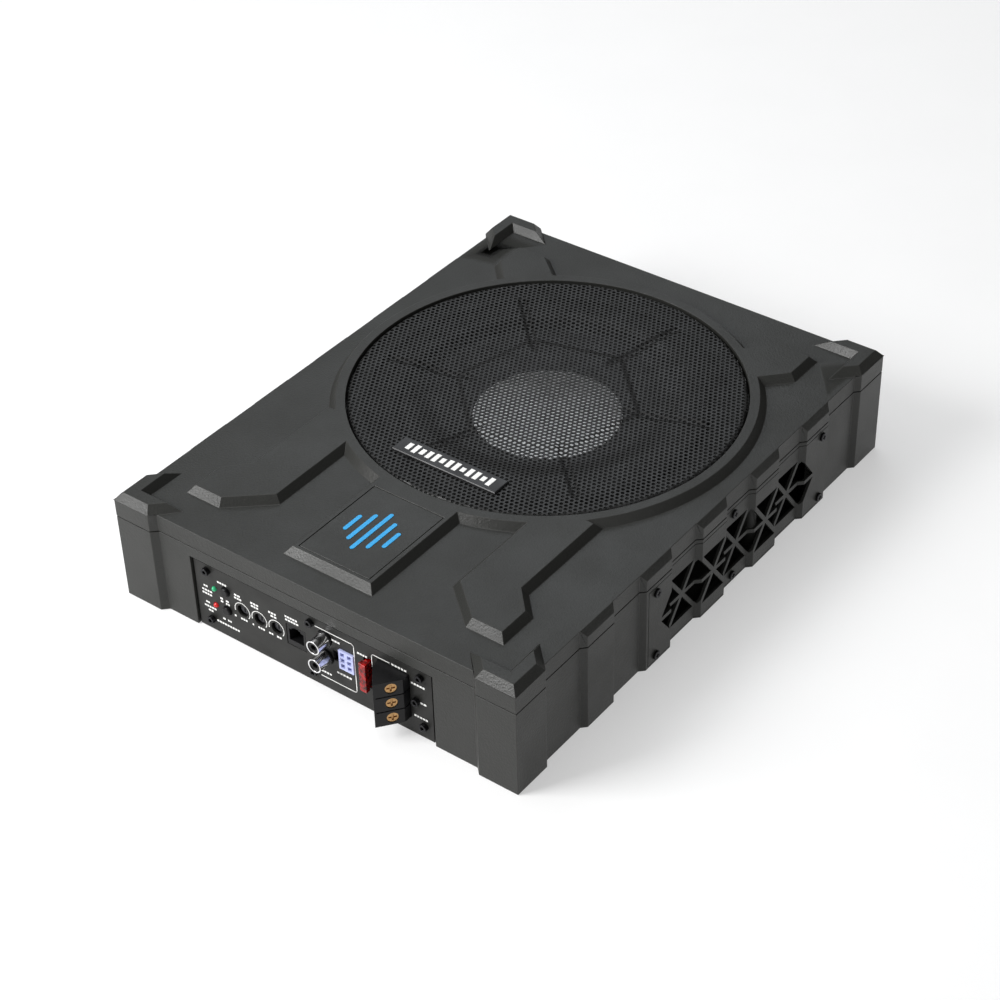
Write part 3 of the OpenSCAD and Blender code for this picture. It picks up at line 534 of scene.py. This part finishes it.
def add_panel_print(look):
    """The white screen print: scales round the knobs, frames, and plain dashes for labels."""
    ink = Print(on_panel)
    line, scale_r = 0.45, 5.15
    for knob in ("lowpass_knob", "bass_knob", "gain_knob"):
        low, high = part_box(knob)
        centre = ((low.x + high.x) / 2 / MM, (low.z + high.z) / 2 / MM)
        ink.arc(centre, scale_r, -35, 195, line)
    # Each label: its left end, its right end and the height of its middle
    labels = [
        (-66.2, -59.5, 36.2), (-76.6, -73.4, 29.2), (-77.9, -70.6, 26.3), (-78.0, -71.0, 24.0),
        (-76.3, -73.4, 18.2), (-77.6, -69.0, 15.4), (-75.1, -71.4, 13.0),
        (-65.3, -62.9, 25.7), (-61.4, -58.8, 25.4), (-65.1, -62.9, 23.7), (-61.6, -58.6, 23.5),
        (-65.0, -62.8, 11.9), (-61.6, -58.7, 12.0), (-69.7, -53.4, 8.2),
        (-54.7, -50.2, 33.3), (-54.9, -49.6, 31.3), (-43.5, -37.6, 33.3), (-43.3, -37.9, 31.3),
        (-31.2, -25.6, 33.3), (-29.8, -25.3, 31.3),
        (-56.0, -54.4, 18.6), (-51.6, -46.8, 18.6), (-43.5, -42.4, 18.6), (-39.6, -34.8, 18.6),
        (-32.2, -29.0, 18.6), (-26.8, -23.2, 18.6),
        (-19.8, -11.1, 36.2), (-19.6, -10.4, 34.1),
        (7.7, 17.2, 36.0), (2.6, 9.9, 10.9), (13.4, 23.5, 15.2), (28.2, 35.0, 36.0),
        (50.4, 60.4, 39.9), (62.4, 71.5, 34.2), (67.5, 72.1, 23.2), (63.4, 72.4, 13.0),
    ]
    for left, right, middle in labels:
        ink.words(left, right, middle)
    corner = 1.6
    inputs_low, inputs_high, inputs_right = 7.4, 39.8, 26.0
    ink.stroke([(0.6, inputs_high), (inputs_right - corner, inputs_high)], line)
    ink.arc((inputs_right - corner, inputs_high - corner), corner, 90, 0, line, steps=6)
    ink.stroke([(inputs_right, inputs_high - corner), (inputs_right, inputs_low + corner)], line)
    ink.arc((inputs_right - corner, inputs_low + corner), corner, 0, -90, line, steps=6)
    ink.stroke([(inputs_right - corner, inputs_low), (2.2, inputs_low)], line)
    power_left, power_high = 37.6, 39.9
    ink.stroke([(power_left, 31.6), (power_left, power_high - corner)], line)
    ink.arc((power_left + corner, power_high - corner), corner, 180, 90, line, steps=6)
    ink.stroke([(power_left + corner, power_high), (49.2, power_high)], line)
    new_piece("panel_print", ink.points, ink.faces, look, "housing")


def add_badge(plate_look, ink_look):
    """A thin plate with sloped edges, and a plain row of level bars in place of a name."""
    low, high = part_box("grille_badge")
    x0, y0, z0 = (c / MM for c in low)
    x1, y1, z1 = (c / MM for c in high)
    centre = ((x0 + x1) / 2, (y0 + y1) / 2)
    top = z1 - PRINT_T
    slope = 0.5
    points = []
    for inset, z in ((0, z0), (0, top - slope), (slope, top)):
        points += [(x0 + inset, y0 + inset, z), (x1 - inset, y0 + inset, z),
                   (x1 - inset, y1 - inset, z), (x0 + inset, y1 - inset, z)]
    faces = [(3, 2, 1, 0), (8, 9, 10, 11)]
    for ring in (0, 4):
        for k in range(4):
            n = (k + 1) % 4
            faces.append((ring + k, ring + n, ring + n + 4, ring + k + 4))
    plate = new_piece("badge_plate", points, faces, plate_look, "housing")
    bevel = plate.modifiers.new("bevel", "BEVEL")
    bevel.width = 0.15 * MM
    bevel.segments = 2
    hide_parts("grille_badge")

    def on_badge(across, up, height):
        return (centre[0] + across, centre[1] + up, top + height)

    ink = Print(on_badge)
    count, pitch, width = 13, 4.5, 2.7
    for k in range(count):
        height = 3.4 + 3.6 * abs(math.sin(1.1 * k + 0.6))
        left = (k - (count - 1) / 2) * pitch - width / 2
        ink.bar(left, left + width, 0, height)
    new_piece("badge_print", ink.points, ink.faces, ink_look, "housing")


# --- Moving suspension --------------------------------------------------------------------

def stretch_between(piece, inner, outer):
    """Lets a ring follow the coil at its inner radius and the housing at its outer one."""
    start = (DRIVER_X * MM, DRIVER_Y * MM, 0)
    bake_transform(piece, "moving_coil", "housing", start=start, end=(start[0] + outer * MM, start[1], 0))
    for vertex, share in zip(piece.data.vertices, piece.data.attributes["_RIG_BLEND"].data):
        radius = math.hypot(vertex.co.x / MM - DRIVER_X, vertex.co.y / MM - DRIVER_Y)
        share.value = min(1.0, max(0.0, (radius - inner) / (outer - inner)))


def add_surround(look):
    """The rubber half roll between the cone's rim and the basket's flange."""
    low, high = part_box("surround")
    outer = (high.x - low.x) / 2 / MM
    land, thick, height = 3.0, 0.8, 4.3
    base = low.z / MM
    roll_outer, roll_inner = outer - land, outer - land - 8.0
    middle, half = (roll_outer + roll_inner) / 2, (roll_outer - roll_inner) / 2
    steps = 18
    angles = [math.pi * k / steps for k in range(steps + 1)]

    def roll(offset):
        return [(middle - (half + offset) * math.cos(a),
                 base + 0.35 + (height + offset) * math.sin(a)) for a in angles]

    inner = roll_inner - 5.0
    profile = [(outer, base), (outer, base + thick), *reversed(roll(thick / 2)),
               (inner, base + 0.3 + thick), (inner, base + 0.3), *roll(-thick / 2)]
    points, faces = revolve(profile, 144, (DRIVER_X, DRIVER_Y))
    piece = new_piece("surround_roll", points, faces, look, None, smooth=40)
    stretch_between(piece, roll_inner, roll_outer)
    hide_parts("surround")


def add_damper(look):
    """The corrugated cloth disc that centres the voice coil."""
    low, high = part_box("damper")
    former_low, former_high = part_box("coil_former")
    outer = (high.x - low.x) / 2 / MM
    inner = (former_high.x - former_low.x) / 2 / MM + 0.05
    middle = (low.z + high.z) / 2 / MM
    rolls, wave, thick, steps = 7, 1.1, 0.5, 84
    held = outer - 8.0
    radii = [inner + (held - inner) * k / steps for k in range(steps + 1)]

    def side(offset):
        return [(r, middle + offset
                 + wave * math.sin((r - inner) / (held - inner) * rolls * 2 * math.pi))
                for r in radii]

    profile = [*side(thick / 2), (outer, middle + thick / 2), (outer, middle - thick / 2),
               *reversed(side(-thick / 2))]
    points, faces = revolve(profile, 120, (DRIVER_X, DRIVER_Y))
    piece = new_piece("damper_disc", points, faces, look, None, smooth=50)
    stretch_between(piece, inner + 1.0, held)
    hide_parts("damper")


# --- Grille -------------------------------------------------------------------------------

PITCH = 2.95
HOLE_R = 1.1
HOLE_SIDES = 8
SHEET_T = 0.6
BEND_R = 2.4
GRILLE_LOW, GRILLE_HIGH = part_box("grille")
GRILLE_R = (GRILLE_HIGH.x - GRILLE_LOW.x) / 2 / MM
GRILLE_TOP = GRILLE_HIGH.z / MM
GRILLE_FOOT = GRILLE_LOW.z / MM
FLAT_R = GRILLE_R - BEND_R
BEND_END = FLAT_R + BEND_R * math.pi / 2
EDGE_S = BEND_END + (GRILLE_TOP - BEND_R - GRILLE_FOOT)


def smooth_step(value, low, high):
    t = np.clip((value - low) / (high - low), 0, 1)
    return t * t * (3 - 2 * t)


def pressing(x, y):
    """How far the sheet is pressed down at a point: a round dish with straight creases."""
    dish, crease, count = 2.2, 0.9, 6
    radius = np.hypot(x, y)
    depth = dish * (1 - smooth_step(radius, 61, 79))
    for k in range(count):
        angle = math.radians(15 + 60 * k)
        along = x * math.cos(angle) + y * math.sin(angle)
        across = np.abs(-x * math.sin(angle) + y * math.cos(angle))
        line = 1 - smooth_step(across, 0.4, 3.2)
        reach = smooth_step(along, 40, 48) * (1 - smooth_step(along, 92, 98))
        depth = depth + crease * line * reach
    sides = [math.radians(45 + 60 * k) for k in range(count)]
    apothem = np.max([x * math.cos(side) + y * math.sin(side) for side in sides], axis=0)
    return depth - crease * (1 - smooth_step(apothem, 44, 48))


def wrapped(points, inset):
    """Places flat-pattern points on the sheet, inset from its outer face."""
    x, y = points[:, 0], points[:, 1]
    s = np.hypot(x, y)
    turn = np.clip((s - FLAT_R) / BEND_R, 0, math.pi / 2)
    radius = np.minimum(s, FLAT_R) + (BEND_R - inset) * np.sin(turn)
    drop = np.maximum(s - BEND_END, 0)
    z = GRILLE_TOP - BEND_R + (BEND_R - inset) * np.cos(turn) - drop - pressing(x, y)
    scale = radius / np.maximum(s, 1e-9)
    return np.column_stack([DRIVER_X + x * scale, DRIVER_Y + y * scale, z])


def hole_centres():
    row = PITCH * math.sin(math.radians(60))
    rows = int(EDGE_S / row) + 1
    centres = []
    for j in range(-rows, rows + 1):
        shift = 0.5 * (j % 2)
        for i in range(-rows, rows + 1):
            x, y = (i + shift) * PITCH, j * row
            if math.hypot(x, y) < BEND_END - HOLE_R - 0.4:
                centres.append((x, y))
    return np.array(centres)


def add_grille(look):
    """A perforated steel sheet with a rolled rim, holes in staggered rows along X."""
    centres = hole_centres()
    angles = [2 * math.pi * (k + 0.5) / HOLE_SIDES for k in range(HOLE_SIDES)]
    ring = np.array([(HOLE_R * math.cos(a), HOLE_R * math.sin(a)) for a in angles])
    holes = (centres[:, None, :] + ring[None, :, :]).reshape(-1, 2)
    rim_steps = 360
    turns = [2 * math.pi * k / rim_steps for k in range(rim_steps)]
    inner_rim = np.array([(BEND_END * math.cos(a), BEND_END * math.sin(a)) for a in turns])
    outer_rim = np.array([(EDGE_S * math.cos(a), EDGE_S * math.sin(a)) for a in turns])
    flat = np.vstack([holes, inner_rim, outer_rim])
    result = delaunay_2d_cdt([Vector(p) for p in flat], [], [], 0, 1e-6)
    order = [ids[0] for ids in result[3]]
    triangles = np.array([[order[v] for v in face] for face in result[2]])
    owner = np.where(triangles < len(holes), triangles // HOLE_SIDES, -1 - triangles)
    solid = ~((owner[:, 0] == owner[:, 1]) & (owner[:, 1] == owner[:, 2]))
    front = triangles[solid]
    a, b, c = flat[front[:, 0]], flat[front[:, 1]], flat[front[:, 2]]
    area = (b[:, 0] - a[:, 0]) * (c[:, 1] - a[:, 1]) - (c[:, 0] - a[:, 0]) * (b[:, 1] - a[:, 1])
    front[area < 0] = front[area < 0][:, ::-1]
    count = len(flat)
    points = np.vstack([wrapped(flat, 0), wrapped(flat, SHEET_T)])
    faces = [tuple(f) for f in front] + [tuple(f[::-1] + count) for f in front]
    for h in range(len(centres)):
        for k in range(HOLE_SIDES):
            p, q = h * HOLE_SIDES + k, h * HOLE_SIDES + (k + 1) % HOLE_SIDES
            faces.append((p, q, q + count, p + count))
    first = len(holes) + rim_steps
    for k in range(rim_steps):
        p, q = first + k, first + (k + 1) % rim_steps
        faces.append((q, p, p + count, q + count))
    piece = new_piece("grille_sheet", points, faces, look, "housing", smooth=45)
    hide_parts("grille")


# --- Build --------------------------------------------------------------------------------

add_camera()

shell = moulded_plastic("shell_plastic", (0.0215, 0.0220, 0.0198), roughness=0.41, grain=0.8,
                        depth=0.1, shine=0.36)
shell_edge = worn_edge("shell_plastic_edge", (0.027, 0.027, 0.025))
black = moulded_plastic("black_plastic", (0.006, 0.006, 0.0065), roughness=0.4, grain=0.4,
                        depth=0.015, shine=0.22)
panel_coat = powder_coat("panel_powder_coat", (0.013, 0.013, 0.0118), roughness=0.48, shine=0.3)
grille_coat = powder_coat("grille_powder_coat", (0.017, 0.017, 0.017), shine=0.27)
black_coat = powder_coat("black_powder_coat", (0.012, 0.012, 0.013))
black_screw = plated("black_oxide", (0.03, 0.03, 0.032), 0.35)
brass = plated("brass", (0.42, 0.25, 0.11), 0.26)
nickel = plated("nickel_plate", (0.82, 0.82, 0.83), 0.15)
zinc = plated("zinc_plate", (0.62, 0.63, 0.65), 0.35)
sink = plated("extruded_aluminium", (0.6, 0.61, 0.63), 0.4, stretch=(1, 1, 0.1))
nylon = moulded_plastic("natural_nylon", (0.48, 0.52, 0.80), roughness=0.4, grain=0.8, depth=0.01)
mark_blue = printed("mark_blue", (0.02, 0.33, 0.68))
white_print = printed("white_print", (0.85, 0.85, 0.83))
knob_grey = moulded_plastic("knob_plastic", (0.05, 0.05, 0.055), grain=0.4, depth=0.02)

for name in ("lower_shell", "lid", "emblem_plate"):
    soften(name, 0.3, shell, shell_edge)
for name in ("vent_grille_right", "vent_grille_left"):
    soften(name, 0.15, shell, shell_edge, clamp=True)
soften("control_panel", 0.15, panel_coat)
soften("panel_screws", 0.2, black_screw)
soften("vent_screws", 0.2, black_screw)
for name in ("phase_button", "turn_on_button", "remote_socket", "rca_block", "rca_contacts",
             "terminal_block", "switch_bodies", "fuse_holder"):
    soften(name, 0.15, black)
for name in ("lowpass_knob", "bass_knob", "gain_knob"):
    soften(name, 0.12, knob_grey)
soften("rca_shells", 0.15, nickel)
soften("high_level_socket", 0.15, nylon)
soften("fuse_body", 0.3, tinted_red_painted_light())
for name in ("terminal_screw_top", "terminal_screw_middle", "terminal_screw_bottom"):
    soften(name, 0.15, brass)
paint("emblem_mark", mark_blue)
paint("led_green", lens("led_green", (0.03, 0.5, 0.22), glow=0.05))
paint("led_red", lens("led_red", (0.7, 0.015, 0.015), glow=0.12))
paint("dust_cap", brushed_cap())
paint("cone", pulp())
for name in ("lid_gasket", "basket_gasket"):
    paint(name, foam())
for name in ("top_plate", "yoke", "fuse_blades"):
    paint(name, zinc)
for name in ("bracket_inserts", "driver_terminals", "high_level_contacts", "terminal_cages"):
    paint(name, brass)
for name in ("housing_screws", "driver_screws"):
    paint(name, black_screw)
paint("partition", black)
paint("driver_basket", black_coat)
paint("magnet", sintered())
paint("speaker_leads", rubber("lead_insulation", (0.25, 0.02, 0.02)))
paint("coil_former", printed("former_film", (0.45, 0.28, 0.10)))
copper = wound_wire()
for name in ("voice_coil", "inductors"):
    paint(name, copper)
paint("pot_bodies", black)
paint("circuit_board", varnished_board())
paint("capacitors", printed("shrink_sleeve", (0.02, 0.025, 0.06)))
paint("heat_sink", sink)
paint("transistors", black)

add_grille(grille_coat)
add_panel_print(white_print)
add_badge(black_coat, white_print)
add_surround(rubber("surround_rubber", (0.02, 0.02, 0.02)))
add_damper(woven("damper_cloth", (0.5, 0.36, 0.18)))

add_floor()
add_world(0.9)
add_softbox("key", azimuth=-35, elevation=36, distance=1.7, size=0.75, power=30)
add_softbox("top", azimuth=-60, elevation=75, distance=1.8, size=1.4, power=8)
add_softbox("side", azimuth=66, elevation=14, distance=1.8, size=1.4, power=5.5)
add_softbox("back", azimuth=-142, elevation=46, distance=1.7, size=0.9, power=4.2,
            colour=(0.90, 0.95, 1))
bpy.context.scene.view_settings.view_transform = "Standard"
